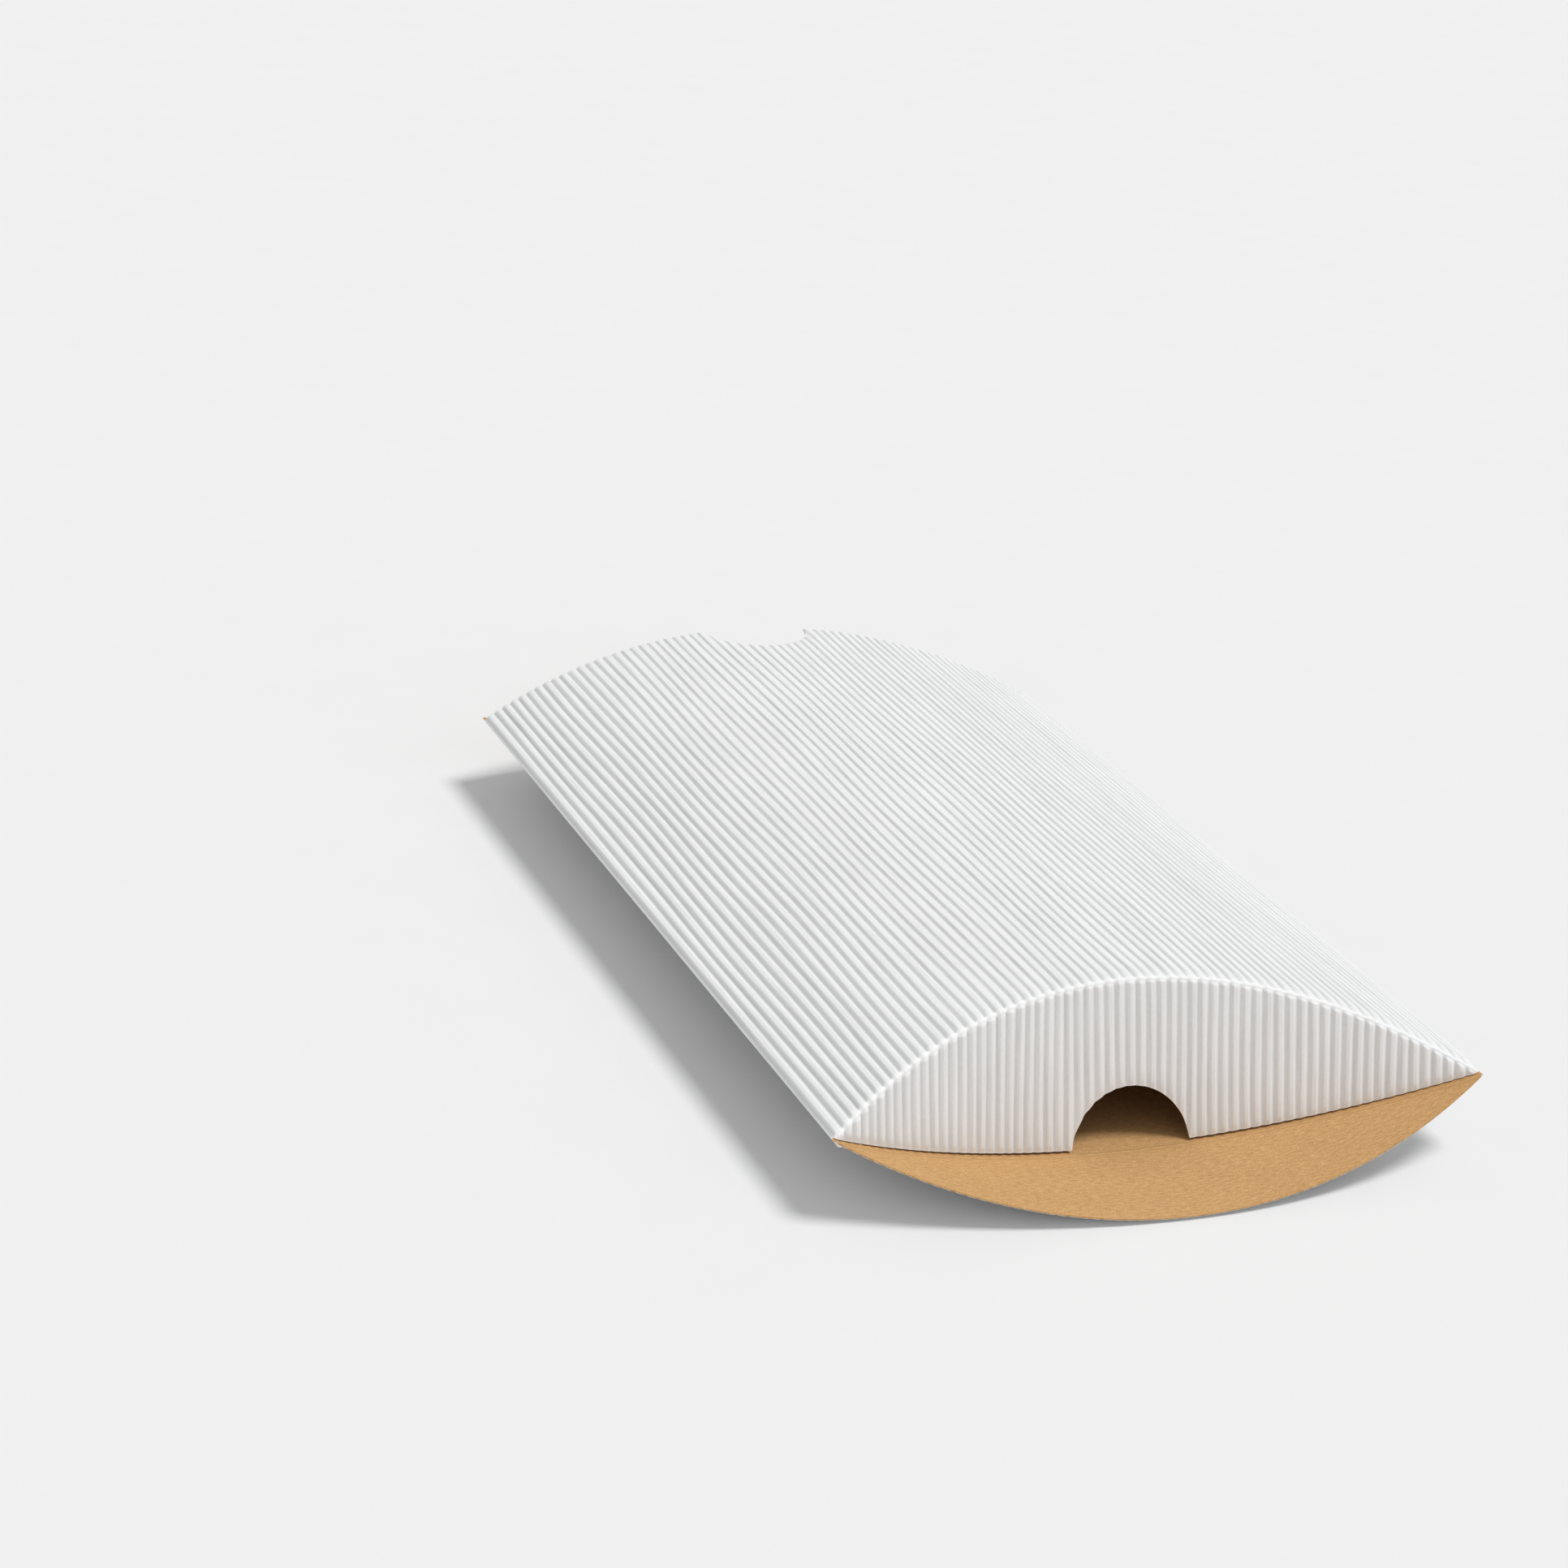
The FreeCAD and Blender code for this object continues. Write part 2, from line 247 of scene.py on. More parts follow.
def flute_arch(u, folded):
    """Profile of a flute, from 0 in its valleys to 1 on its crest."""
    across = np.abs(2 * (u - np.floor(u)) - 1)
    flat = crest(np.floor(u), folded)
    off_crest = np.clip((across - flat) / (1 - VALLEY - flat), 0, 1)
    drop = np.hypot(off_crest, CREST_ROUND) - CREST_ROUND
    return 1 - drop / (math.hypot(1, CREST_ROUND) - CREST_ROUND)


def flute_rise(u, y, folded):
    """Height of the fluted sheet above the liner."""
    number = np.floor(u)
    long_wave, short_wave = (sheet_wave(number, y, *shape) for shape in HEIGHT_WAVES)
    return FLUTE_HEIGHT * flute_arch(u, folded) * (1 - UNEVEN * (1 + long_wave * short_wave))


def crush(u, distance, folded):
    """What a folded score leaves of a flute's height; the distance from it counts up into the flap."""
    if not folded:
        return 1 + 0 * distance
    number = np.floor(u)
    right = smooth_step(number / flutes)
    pairs = (SCORE_CRUSH, CRUSH_JITTER, PANEL_CRUSH)
    share_lost, jitter, reach = (left + (last - left) * right for left, last in pairs)
    depth = share_lost + jitter * flute_wave(number, *CRUSH_WAVE)
    strayed = distance + SCORE_JITTER * flute_wave(number, *STRAY_WAVE)
    panel_side = np.exp(-((strayed / reach) ** 2))
    flap_side = np.exp(-((np.abs(strayed) / FLAP_CRUSH) ** 3))
    return 1 - depth * np.where(strayed < 0, panel_side, flap_side)


def bead(distance):
    return -SCORE_BEAD * np.exp(-((distance / BEAD_WIDTH) ** 2))


def score_shade_lines(distance):
    """Where the liner is painted darker in two thin shade marks beside a score's ridge."""
    return np.exp(-(((np.abs(distance) - BEAD_EDGE) / SHADE_LINE_WIDTH) ** 2))


def fold_frame(flap, end, u):
    """Axis and angle of the fold at u, for a flap mirrored in the plane of its score."""
    angle = angle_at(u)
    slope = end * flap["depth"] / PANEL_RISE
    axis = np.stack([np.cos(angle), slope * np.sin(angle), -flap["side"] * np.sin(angle)], axis=-1)
    axis /= np.linalg.norm(axis, axis=-1, keepdims=True)
    out = np.array([0.0, end, 0.0])
    if end * flap["side"] > 0:
        axis = -axis
    plane = np.array([0, end * PANEL_RISE, flap["side"] * flap["depth"]])
    plane = plane / np.linalg.norm(plane)
    mirrored = out - 2 * (out @ plane) * plane
    open_arm = out - axis * (axis @ out)[..., None]
    shut_arm = mirrored - axis * (axis @ mirrored)[..., None]
    cosine = (open_arm * shut_arm).sum(-1)
    cosine = cosine / np.linalg.norm(open_arm, axis=-1) / np.linalg.norm(shut_arm, axis=-1)
    return axis, np.arccos(np.clip(cosine, -1, 1))


def turned(vectors, axis, angle):
    """Vectors turned about unit axes."""
    cosine = np.cos(angle)[..., None]
    sine = np.sin(angle)[..., None]
    along = (vectors * axis).sum(-1, keepdims=True)
    return vectors * cosine + np.cross(axis, vectors) * sine + axis * along * (1 - cosine)


def flap_point(flap, end_name, u, distance, height):
    """Point of a flap at rest: a distance beyond its score and a height above the liner's inner face."""
    end = ENDS[end_name]
    score = liner_point(flap, u, end * score_place(flap, u))
    arm = np.zeros(score.shape)
    arm[..., 1] = end * distance
    arm = arm + outward(flap, u) * height[..., None]
    if end_name in flap["folded"]:
        axis, angle = fold_frame(flap, end, u)
        arm = turned(arm, axis, angle * smooth_step((distance + CREASE) / (2 * CREASE)))
    return score + arm


def panel_point(flap, u, y, height):
    return liner_point(flap, u, y) + outward(flap, u) * height[..., None]


# Meshes: a piece is a grid of rows along the flutes and columns across them, with two faces

OUTSIDE, INSIDE, EDGE, CUT, HOLLOW = range(5)
PAPER, KRAFT = range(2)
MATERIAL_OF = {OUTSIDE: PAPER, INSIDE: KRAFT, EDGE: KRAFT, CUT: PAPER, HOLLOW: KRAFT}


class Build:
    """Collects points and faces of one piece, and makes its object."""

    def __init__(self):
        self.points = []
        self.sheet = []
        # per point: painted highlight and shade along the scores, and painted shade in the flute valleys
        self.score_highlight_and_shade = []
        self.shade_in_valleys = []
        self.faces = []
        self.kinds = []

    def add(self, points, sheet, score_highlight_and_shade=0, shade_in_valleys=0):
        """Adds a grid of points and gives their numbers."""
        first = len(self.points)
        count = points.shape[0] * points.shape[1]
        self.points.extend(points.reshape(-1, 3).tolist())
        self.sheet.extend(sheet.reshape(-1, 3).tolist())
        self.score_highlight_and_shade.extend(np.broadcast_to(score_highlight_and_shade, points.shape[:2]).ravel().tolist())
        self.shade_in_valleys.extend(np.broadcast_to(shade_in_valleys, points.shape[:2]).ravel().tolist())
        return np.arange(first, first + count).reshape(points.shape[:2])

    def quads(self, grid, kind):
        """Adds the faces between the points of a grid."""
        for row in range(grid.shape[0] - 1):
            for column in range(grid.shape[1] - 1):
                near = grid[row, column : column + 2]
                far = grid[row + 1, column : column + 2]
                self.faces.append((near[0], near[1], far[1], far[0]))
                self.kinds.append(kind)

    def make(self, name, materials):
        mesh = bpy.data.meshes.new(name)
        mesh.from_pydata(self.points, [], [[int(i) for i in face] for face in self.faces])
        sheet = mesh.attributes.new("sheet", "FLOAT_VECTOR", "POINT")
        sheet.data.foreach_set("vector", np.array(self.sheet, np.float32).ravel())
        # attributes that carry the painted highlight and shade along the scores and the painted shade in
        # the flute valleys
        for label, values in (("score_highlight_and_shade", self.score_highlight_and_shade), ("shade_in_valleys", self.shade_in_valleys)):
            shade = mesh.attributes.new(label, "FLOAT", "POINT")
            shade.data.foreach_set("value", np.array(values, np.float32))
        kind = mesh.attributes.new("kind", "INT", "FACE")
        kind.data.foreach_set("value", self.kinds)

        work = bmesh.new()
        work.from_mesh(mesh)
        bmesh.ops.remove_doubles(work, verts=work.verts, dist=MERGE_REACH)
        bmesh.ops.dissolve_degenerate(work, edges=work.edges, dist=SLIVER)
        loose = [point for point in work.verts if not point.link_faces]
        bmesh.ops.delete(work, geom=loose, context="VERTS")
        bmesh.ops.recalc_face_normals(work, faces=work.faces)
        face_kind = work.faces.layers.int["kind"]
        for face in work.faces:
            face.smooth = True
            face.material_index = MATERIAL_OF[face[face_kind]]
        for edge in work.edges:
            edge.smooth = len({face[face_kind] for face in edge.link_faces}) == 1
        work.to_mesh(mesh)
        work.free()
        mesh.attributes.remove(mesh.attributes["kind"])

        piece = bpy.data.objects.new(name, mesh)
        bpy.context.scene.collection.objects.link(piece)
        for material in materials:
            mesh.materials.append(material)
        return piece


def sheet_place(flap, u, y, height):
    """Where a point lies on the flat sheet, which the materials follow."""
    return np.stack([u * pitch, y + flap["side"] * BOX_LENGTH, height], axis=-1)


def columns(first, count, folded):
    """Columns of whole flutes, from valley to valley."""
    number = first + np.arange(count)[:, None]
    flank = (1 - VALLEY - crest(number, folded)) / 2
    rising = VALLEY / 2 + flank * FLANK_PLACES
    onto_crest = np.maximum(CREST_PLACE, (rising[:, -1:] + 0.5) / 2)
    rising = np.concatenate([0 * number, rising, onto_crest], axis=1)
    places = np.concatenate([rising, 0.5 + 0 * number, 1 - rising[:, :0:-1]], axis=1)
    return np.append((number + places).ravel(), first + count)


def score_highlight_band(distance, folded):
    """Where the white face is painted brighter along a folded score: a painted highlight, with the paper
    partly worn paler.
    """
    return np.exp(-((distance / SCORE_HIGHLIGHT_REACH) ** 2)) * folded


def painted_valley_shade(u, score_highlight, folded):
    """Painted shade in the flute valleys: where the white sheet is made greyer, low on the flanks."""
    painted_shade = np.interp(u, STATIONS, VALLEY_SHADE) * (1 - folded) + np.interp(u, STATIONS, FLAP_VALLEY_SHADE) * folded
    reach = np.interp(u, STATIONS, VALLEY_SHADE_REACH) * (1 - folded) + VALLEY_SHADE_REACH[0] * folded
    return smooth_step(1 - flute_arch(u, folded) / reach) * (1 - score_highlight) * painted_shade


def panel_rows(flap, u):
    """Places along the box of a panel's rows, at each column: close together near the two scores."""
    reach = score_place(flap, u) - CREASE
    inner = reach - PANEL_PLACES[-1]
    rows = [-reach + step for step in PANEL_PLACES]
    rows += [inner * (2 * row / PANEL_ROWS - 1) for row in range(1, PANEL_ROWS)]
    rows += [reach - step for step in PANEL_PLACES[::-1]]
    return np.array(rows)


def panel_board(flap, materials):
    """One panel, which rides on the shell."""
    u = columns(0, flutes, 0)
    y = panel_rows(flap, u)
    nominal = np.broadcast_to(u, y.shape)
    shifted = nominal + wander(nominal, y)
    y = np.array([panel_rows(flap, shifted[row])[row] for row in range(len(y))])
    front = score_place(flap, shifted) + y
    back = score_place(flap, shifted) - y
    folded = "front" in flap["folded"]
    near = folded * smooth_step(1 - front / CREST_BLEND)
    rise = flute_rise(nominal, y, near) * crush(nominal, -front, folded)
    build = Build()

    height = LINER + rise
    outer = panel_point(flap, shifted, y, height)
    mitre = half_width + LINER / math.sin(half_angle)
    for column, x in ((0, -mitre), (-1, mitre)):
        outer[:, column, 0] = x
        outer[:, column, 2] = mid_height
    # painted highlight along the folded score, with the paper partly worn paler, and painted shade in the
    # flute valleys
    score_highlight = score_highlight_band(front, folded)
    painted_shade = painted_valley_shade(nominal, score_highlight, near)
    outside = build.add(outer, sheet_place(flap, shifted, y, height), score_highlight, painted_shade)
    ridges = bead(front) + bead(back)
    inner = panel_point(flap, shifted, y, ridges)
    # painted shade marks beside both scores on the liner
    shade_lines = np.maximum(score_shade_lines(front), score_shade_lines(back))
    inside = build.add(inner, sheet_place(flap, shifted, y, ridges), shade_lines)

    build.quads(outside, OUTSIDE)
    build.quads(inside[::-1], INSIDE)
    for edge in (np.s_[0, :], np.s_[-1, :]):
        build.quads(np.array([outside[edge], inside[edge]]), CUT)
    for edge in (np.s_[:, 0], np.s_[:, -1]):
        build.quads(np.array([outside[edge], inside[edge]]), EDGE)
    piece = build.make(f"{flap['panel']}_board", materials)
    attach(piece, "shell")
    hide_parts(flap["panel"])
    return piece


def flap_rows(flap, u):
    """Distances of a flap's rows from its score, at each column: close together at score and free edge."""
    length = flap_length(flap, u)
    squeeze = np.minimum(1, length / FULL_FLAP)
    rows = [step + 0 * u if step <= 0 else step * squeeze for step in (*BEND_PLACES, *SCORE_PLACES)]
    start = SCORE_PLACES[-1] * squeeze
    end = length - EDGE_PLACES[0] * squeeze
    rows += [start + (end - start) * row / FLAP_ROWS for row in range(1, FLAP_ROWS)]
    rows += [length - step * squeeze for step in EDGE_PLACES]
    return np.array(rows)


def strip_columns(flap, end_name, number):
    """Columns of one strip. Strips are numbered along the score, as it runs seen from the flap's end."""
    folded = end_name in flap["folded"]
    if ENDS[end_name] * flap["side"] > 0:
        return columns((number - 1) * STRIP_FLUTES, STRIP_FLUTES, folded)
    return columns(flutes - number * STRIP_FLUTES, STRIP_FLUTES, folded)


def strip_grid(flap, end_name, u):
    """Drifted columns and row distances of one strip."""
    end = ENDS[end_name]
    distance = flap_rows(flap, u)
    nominal = np.broadcast_to(u, distance.shape)
    shifted = nominal + wander(nominal, end * (score_place(flap, nominal) + distance))
    distance = np.array([flap_rows(flap, shifted[row])[row] for row in range(len(distance))])
    return nominal, shifted, distance


def cut_edge(build, flap, end_name, u, length, outside, inside, rise):
    """Cut edge of a strip: liner, fluted sheet and the open flutes between them."""
    y = ENDS[end_name] * (score_place(flap, u) + length)
    base = LINER + 0 * rise
    ceiling = np.maximum(LINER + rise - MEDIUM, LINER)
    hollow = np.minimum(TUNNEL_DEPTH, TUNNEL_SHARE * length)

    def edge_row(height, back):
        points = flap_point(flap, end_name, u[None], (length - back)[None], height[None])
        return build.add(points, sheet_place(flap, u[None], y[None], height[None]))[0]

    low = edge_row(base, 0 * hollow)
    high = edge_row(ceiling, 0 * hollow)
    low_end = edge_row(base, hollow)
    high_end = edge_row(ceiling, hollow)
    build.quads(np.array([inside, low]), EDGE)
    build.quads(np.array([high, outside]), CUT)
    for column in range(len(u) - 1):
        pair = slice(column, column + 2)
        if (ceiling[pair] > base[pair]).any():
            build.quads(np.array([low[pair], low_end[pair], high_end[pair], high[pair]]), HOLLOW)


def unit(vector):
    return vector / np.linalg.norm(vector)


def flap_strip(flap, end_name, kind, number, materials):
    """One strip of a flap, built in its rest pose, turned along its score where the flap is folded."""
    node = f"{end_name}_{kind}_flap_{number}"
    end = ENDS[end_name]
    folded = end_name in flap["folded"]
    u = strip_columns(flap, end_name, number)
    nominal, shifted, distance = strip_grid(flap, end_name, u)
    y = end * (score_place(flap, shifted) + distance)
    rise = flute_rise(nominal, y, folded) * crush(nominal, distance, folded)
    rise = rise * cut_left(flap, shifted, distance)
    build = Build()

    height = LINER + rise
    outer = flap_point(flap, end_name, shifted, distance, height)
    # painted highlight along a folded score, with the paper partly worn paler, painted shade in the flute
    # valleys, and painted shade marks beside the score on the liner
    score_highlight = score_highlight_band(distance, folded)
    painted_shade = painted_valley_shade(nominal, score_highlight, folded)
    outside = build.add(outer, sheet_place(flap, shifted, y, height), score_highlight, painted_shade)
    ridge = bead(distance)
    inner = flap_point(flap, end_name, shifted, distance, ridge)
    inside = build.add(inner, sheet_place(flap, shifted, y, ridge), score_shade_lines(distance))

    build.quads(outside, OUTSIDE)
    build.quads(inside[::-1], INSIDE)
    for edge in (np.s_[0, :], np.s_[:, 0], np.s_[:, -1]):
        build.quads(np.array([outside[edge], inside[edge]]), CUT)
    cut_edge(build, flap, end_name, shifted[-1], distance[-1], outside[-1], inside[-1], rise[-1])
    piece = build.make(f"{node}_board", materials)

    low, high = liner_point(flap, u[[0, -1]], end * score_place(flap, u[[0, -1]]))
    hinge = (low + high) / 2
    middle = u[[len(u) // 2]]
    tip = flap_point(flap, end_name, middle, flap_length(flap, middle), np.zeros(1))[0]
    along = unit(high - low)
    across = unit(tip - hinge) + np.array([0, end, 0])
    across = BLEND_REACH * unit(across - along * (across @ along))
    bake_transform(piece)
    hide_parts(node)
    return piece


# Noises of the materials: grain per metre across, along and out of the sheet, then detail
WHITE_FIBRES = ((2600, 900, 900), 4)
WHITE_CREASES = ((1900, 55, 500), 3)
WHITE_CLOUDS = ((90, 40, 60), 2)
KRAFT_STREAKS = ((480, 2100, 900), 5)
KRAFT_SPECKS = ((2600, 3000, 900), 4)
KRAFT_CLOUDS = ((60, 90, 60), 3)
NOISE_ROUGHNESS = 0.6

# Plain noises: grain per metre, then detail
TAB_NOISE = (1500, 5)
GLUE_NOISE = (700, 3)
FLOOR_NOISE = (40, 3)

# Tones of the materials: places in a noise, each with its colour
UNCHANGED = (1, 1, 1)
WHITE_FIBRE_TONES = ((0.3, (0.862, 0.864, 0.866)), (0.7, (0.902, 0.904, 0.906)))
WHITE_CREASE_TONES = ((0.36, (0.93, 0.93, 0.93)), (0.5, UNCHANGED))
WHITE_CLOUD_TONES = ((0.3, (0.97, 0.97, 0.97)), (0.7, UNCHANGED))
KRAFT_STREAK_TONES = (
    (0.32, (0.535, 0.303, 0.12)),
    (0.5, (0.64, 0.375, 0.156)),
    (0.68, (0.735, 0.455, 0.205)),
)
KRAFT_SPECK_TONES = ((0.36, (0.78, 0.75, 0.71)), (0.56, UNCHANGED))
KRAFT_CLOUD_TONES = ((0.3, (0.94, 0.93, 0.92)), (0.7, UNCHANGED))
TAB_TONES = ((0.3, (0.5, 0.275, 0.1)), (0.7, (0.64, 0.37, 0.15)))
GLUE_TONES = ((0.3, (0.62, 0.54, 0.38)), (0.7, (0.78, 0.72, 0.58)))
FLOOR_TONES = ((0.3, (0.842, 0.842, 0.842)), (0.7, (0.852, 0.852, 0.852)))

# Single tones, and depths of the finest relief
# painted shade in the flute valleys
VALLEY_SHADE_TONE = (0.765, 0.77, 0.775)
# painted highlight along a folded score, with the paper partly worn paler
SCORE_HIGHLIGHT_TONE = (0.93, 0.931, 0.932)
# painted shade marks beside a score on the liner
SCORE_SHADE_TONE = (0.5, 0.285, 0.115)
WHITE_RELIEF = 0.03 * MM
KRAFT_RELIEF = 0.025 * MM
GLUE_RELIEF = 0.05 * MM


# Materials

def material_nodes(name):
    material = bpy.data.materials.new(name)
    material.use_nodes = True
    nodes = material.node_tree.nodes
    return material, nodes, material.node_tree.links, nodes["Principled BSDF"]


def sheet_noise(nodes, links, grain, detail):
    """Noise that follows the flat sheet."""
    place = nodes.new("ShaderNodeAttribute")
    place.attribute_name = "sheet"
    scale = nodes.new("ShaderNodeMapping")
    scale.inputs["Scale"].default_value = grain
    links.new(place.outputs["Vector"], scale.inputs["Vector"])
    noise = nodes.new("ShaderNodeTexNoise")
    noise.inputs["Scale"].default_value = 1
    noise.inputs["Detail"].default_value = detail
    noise.inputs["Roughness"].default_value = NOISE_ROUGHNESS
    links.new(scale.outputs["Vector"], noise.inputs["Vector"])
    return noise.outputs["Fac"]


def object_noise(nodes, links, grain, detail):
    """Noise that is fixed to an object."""
    place = nodes.new("ShaderNodeTexCoord")
    noise = nodes.new("ShaderNodeTexNoise")
    noise.inputs["Scale"].default_value = grain
    noise.inputs["Detail"].default_value = detail
    links.new(place.outputs["Object"], noise.inputs["Vector"])
    return noise.outputs["Fac"]


def attribute(nodes, name):
    node = nodes.new("ShaderNodeAttribute")
    node.attribute_name = name
    return node.outputs["Fac"]


def ramp(nodes, links, source, tones):
    """Colours that follow a noise."""
    node = nodes.new("ShaderNodeValToRGB")
    elements = node.color_ramp.elements
    while len(elements) < len(tones):
        elements.new(0.5)
    for element, (place, colour) in zip(elements, tones):
        element.position = place
        element.color = (*colour, 1)
    links.new(source, node.inputs["Fac"])
    return node.outputs["Color"]


def mix(nodes, links, blend_type, factor, first, second):
    """Mix of two colours, each one a socket or a tone."""
    node = nodes.new("ShaderNodeMix")
    node.data_type = "RGBA"
    node.blend_type = blend_type
    plugs = {plug.name: plug for plug in node.inputs if plug.enabled}
    for name, value in (("Factor", factor), ("A", first), ("B", second)):
        if isinstance(value, bpy.types.NodeSocket):
            links.new(value, plugs[name])
        elif name == "Factor":
            plugs[name].default_value = value
        else:
            plugs[name].default_value = (*value, 1)
    return next(plug for plug in node.outputs if plug.enabled)


def bump(nodes, links, shader, source, depth):
    node = nodes.new("ShaderNodeBump")
    node.inputs["Strength"].default_value = 1
    node.inputs["Distance"].default_value = depth
    links.new(source, node.inputs["Height"])
    links.new(node.outputs["Normal"], shader.inputs["Normal"])


def white_paper():
    """White face of the fluted sheet: fine fibres, faint clouds, painted shade in the valleys, and a
    painted highlight along folded scores, with the paper partly worn paler there.
    """
    material, nodes, links, shader = material_nodes("white_paper")
    fibres = sheet_noise(nodes, links, *WHITE_FIBRES)
    creases = sheet_noise(nodes, links, *WHITE_CREASES)
    clouds = sheet_noise(nodes, links, *WHITE_CLOUDS)
    fibre_tone = ramp(nodes, links, fibres, WHITE_FIBRE_TONES)
    cloud_tone = ramp(nodes, links, clouds, WHITE_CLOUD_TONES)
    crease_tone = ramp(nodes, links, creases, WHITE_CREASE_TONES)
    tone = mix(nodes, links, "MULTIPLY", 1, fibre_tone, cloud_tone)
    tone = mix(nodes, links, "MULTIPLY", 1, tone, crease_tone)
    # painted shade in the flute valleys
    tone = mix(nodes, links, "MULTIPLY", attribute(nodes, "shade_in_valleys"), tone, VALLEY_SHADE_TONE)
    # painted highlight along folded scores, with the paper partly worn paler
    tone = mix(nodes, links, "MIX", attribute(nodes, "score_highlight_and_shade"), tone, SCORE_HIGHLIGHT_TONE)
    links.new(tone, shader.inputs["Base Color"])
    shader.inputs["Roughness"].default_value = 0.72
    shader.inputs["Specular IOR Level"].default_value = 0.2
    relief = nodes.new("ShaderNodeMath")
    relief.operation = "ADD"
    links.new(fibres, relief.inputs[0])
    links.new(creases, relief.inputs[1])
    bump(nodes, links, shader, relief.outputs["Value"], WHITE_RELIEF)
    return material


def kraft_paper():
    """Brown liner: streaks across the sheet, fine specks, faint clouds and two painted shade marks beside a
    score.
    """
    material, nodes, links, shader = material_nodes("kraft_liner")
    streaks = sheet_noise(nodes, links, *KRAFT_STREAKS)
    specks = sheet_noise(nodes, links, *KRAFT_SPECKS)
    clouds = sheet_noise(nodes, links, *KRAFT_CLOUDS)
    streak_tone = ramp(nodes, links, streaks, KRAFT_STREAK_TONES)
    speck_tone = ramp(nodes, links, specks, KRAFT_SPECK_TONES)
    cloud_tone = ramp(nodes, links, clouds, KRAFT_CLOUD_TONES)
    tone = mix(nodes, links, "MULTIPLY", 1, streak_tone, speck_tone)
    tone = mix(nodes, links, "MULTIPLY", 1, tone, cloud_tone)
    # painted shade marks beside a score
    tone = mix(nodes, links, "MIX", attribute(nodes, "score_highlight_and_shade"), tone, SCORE_SHADE_TONE)
    links.new(tone, shader.inputs["Base Color"])
    shader.inputs["Roughness"].default_value = 0.8
    shader.inputs["Specular IOR Level"].default_value = 0.25
    bump(nodes, links, shader, streaks, KRAFT_RELIEF)
    return material


def tab_kraft():
    material, nodes, links, shader = material_nodes("tab_kraft")
    noise = object_noise(nodes, links, *TAB_NOISE)
    links.new(ramp(nodes, links, noise, TAB_TONES), shader.inputs["Base Color"])
    shader.inputs["Roughness"].default_value = 0.8
    return material


def dried_glue():
    material, nodes, links, shader = material_nodes("dried_glue")
    noise = object_noise(nodes, links, *GLUE_NOISE)
    links.new(ramp(nodes, links, noise, GLUE_TONES), shader.inputs["Base Color"])
    shader.inputs["Roughness"].default_value = 0.35
    bump(nodes, links, shader, noise, GLUE_RELIEF)
    return material


def pale_floor():
    material, nodes, links, shader = material_nodes("pale_floor")
    noise = object_noise(nodes, links, *FLOOR_NOISE)
    links.new(ramp(nodes, links, noise, FLOOR_TONES), shader.inputs["Base Color"])
    shader.inputs["Roughness"].default_value = 0.95
    shader.inputs["Specular IOR Level"].default_value = 0.1
    return material


# The part

sheet_materials = (white_paper(), kraft_paper())
for kind, flap in FLAPS.items():
    panel_board(flap, sheet_materials)
    for end_name in ENDS:
        for number in range(1, STRIPS + 1):
            flap_strip(flap, end_name, kind, number, sheet_materials)

for node, material in (("glue_tab", tab_kraft()), ("glue_line", dried_glue())):
    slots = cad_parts[node].data.materials
    slots.clear()
    slots.append(material)


# Floor, light and camera

FLOOR_SIZE = 12                      # metres
SUN_DIRECTION = (0.31, -0.17, 0.935)
SUN_STRENGTH = 1.78
SUN_SPREAD = 20                      # degrees
SKY_STRENGTH = 0.5
BACKDROP_TONE = 0.868
CAMERA_PLACE = (-0.359963, -0.650952, 0.34403)
CAMERA_TURN = (67.5588, -6.6126, -23.0051)
CAMERA_LENS = 75.821                 # millimetres, as is the sensor
SENSOR = 36

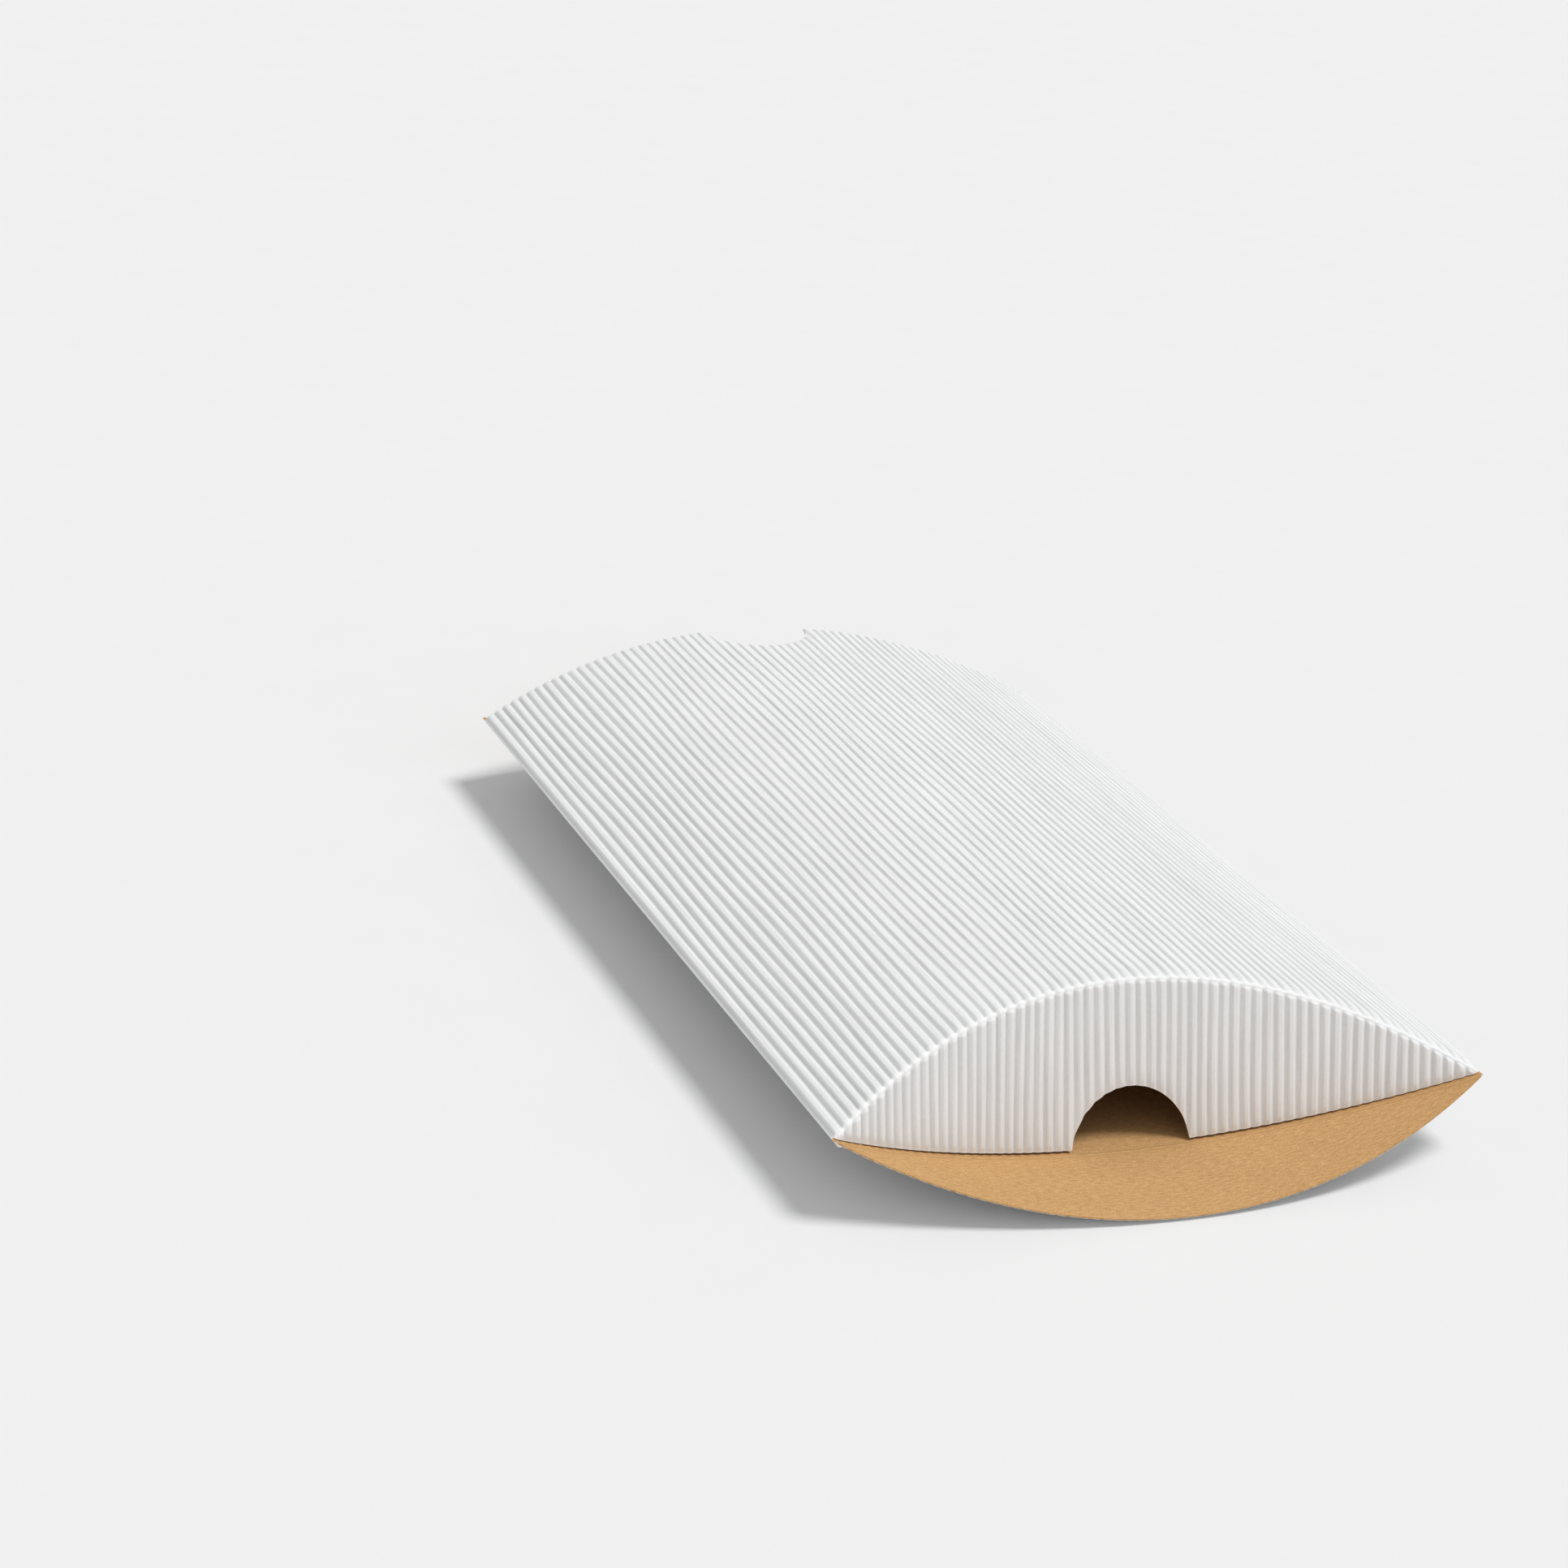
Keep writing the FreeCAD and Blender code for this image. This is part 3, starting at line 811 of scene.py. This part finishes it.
floor_mesh = bpy.data.meshes.new("floor")
half_floor = FLOOR_SIZE / 2
floor_corners = [
    (-half_floor, -half_floor, 0),
    (half_floor, -half_floor, 0),
    (half_floor, half_floor, 0),
    (-half_floor, half_floor, 0),
]
floor_mesh.from_pydata(floor_corners, [], [(0, 1, 2, 3)])
floor_mesh.materials.append(pale_floor())
floor = bpy.data.objects.new("floor", floor_mesh)
bpy.context.scene.collection.objects.link(floor)

world = bpy.data.worlds.new("soft_sky")
world.use_nodes = True
sky_nodes = world.node_tree.nodes
sky_links = world.node_tree.links
sky = sky_nodes["Background"]
sky.inputs["Strength"].default_value = SKY_STRENGTH
backdrop = sky_nodes.new("ShaderNodeBackground")
backdrop.inputs["Strength"].default_value = BACKDROP_TONE
for background in (sky, backdrop):
    background.inputs["Color"].default_value = (1, 1, 1, 1)
seen = sky_nodes.new("ShaderNodeLightPath")
rays = seen.outputs["Is Camera Ray"]
for other_ray in ("Is Glossy Ray", "Is Transmission Ray"):
    either = sky_nodes.new("ShaderNodeMath")
    either.operation = "MAXIMUM"
    sky_links.new(rays, either.inputs[0])
    sky_links.new(seen.outputs[other_ray], either.inputs[1])
    rays = either.outputs["Value"]
chosen = sky_nodes.new("ShaderNodeMixShader")
sky_links.new(rays, chosen.inputs["Fac"])
sky_links.new(sky.outputs["Background"], chosen.inputs[1])
sky_links.new(backdrop.outputs["Background"], chosen.inputs[2])
sky_links.new(chosen.outputs["Shader"], sky_nodes["World Output"].inputs["Surface"])
bpy.context.scene.world = world

sun_data = bpy.data.lights.new("sun", "SUN")
sun_data.energy = SUN_STRENGTH
sun_data.angle = math.radians(SUN_SPREAD)
sun = bpy.data.objects.new("sun", sun_data)
sun.rotation_euler = (-Vector(SUN_DIRECTION)).to_track_quat("-Z", "Y").to_euler()
bpy.context.scene.collection.objects.link(sun)

camera_data = bpy.data.cameras.new("camera")
camera_data.lens = CAMERA_LENS
camera_data.sensor_width = SENSOR
camera = bpy.data.objects.new("camera", camera_data)
camera.location = CAMERA_PLACE
camera.rotation_euler = [math.radians(angle) for angle in CAMERA_TURN]
bpy.context.scene.collection.objects.link(camera)
bpy.context.scene.camera = camera
bpy.context.scene.view_settings.view_transform = "Standard"
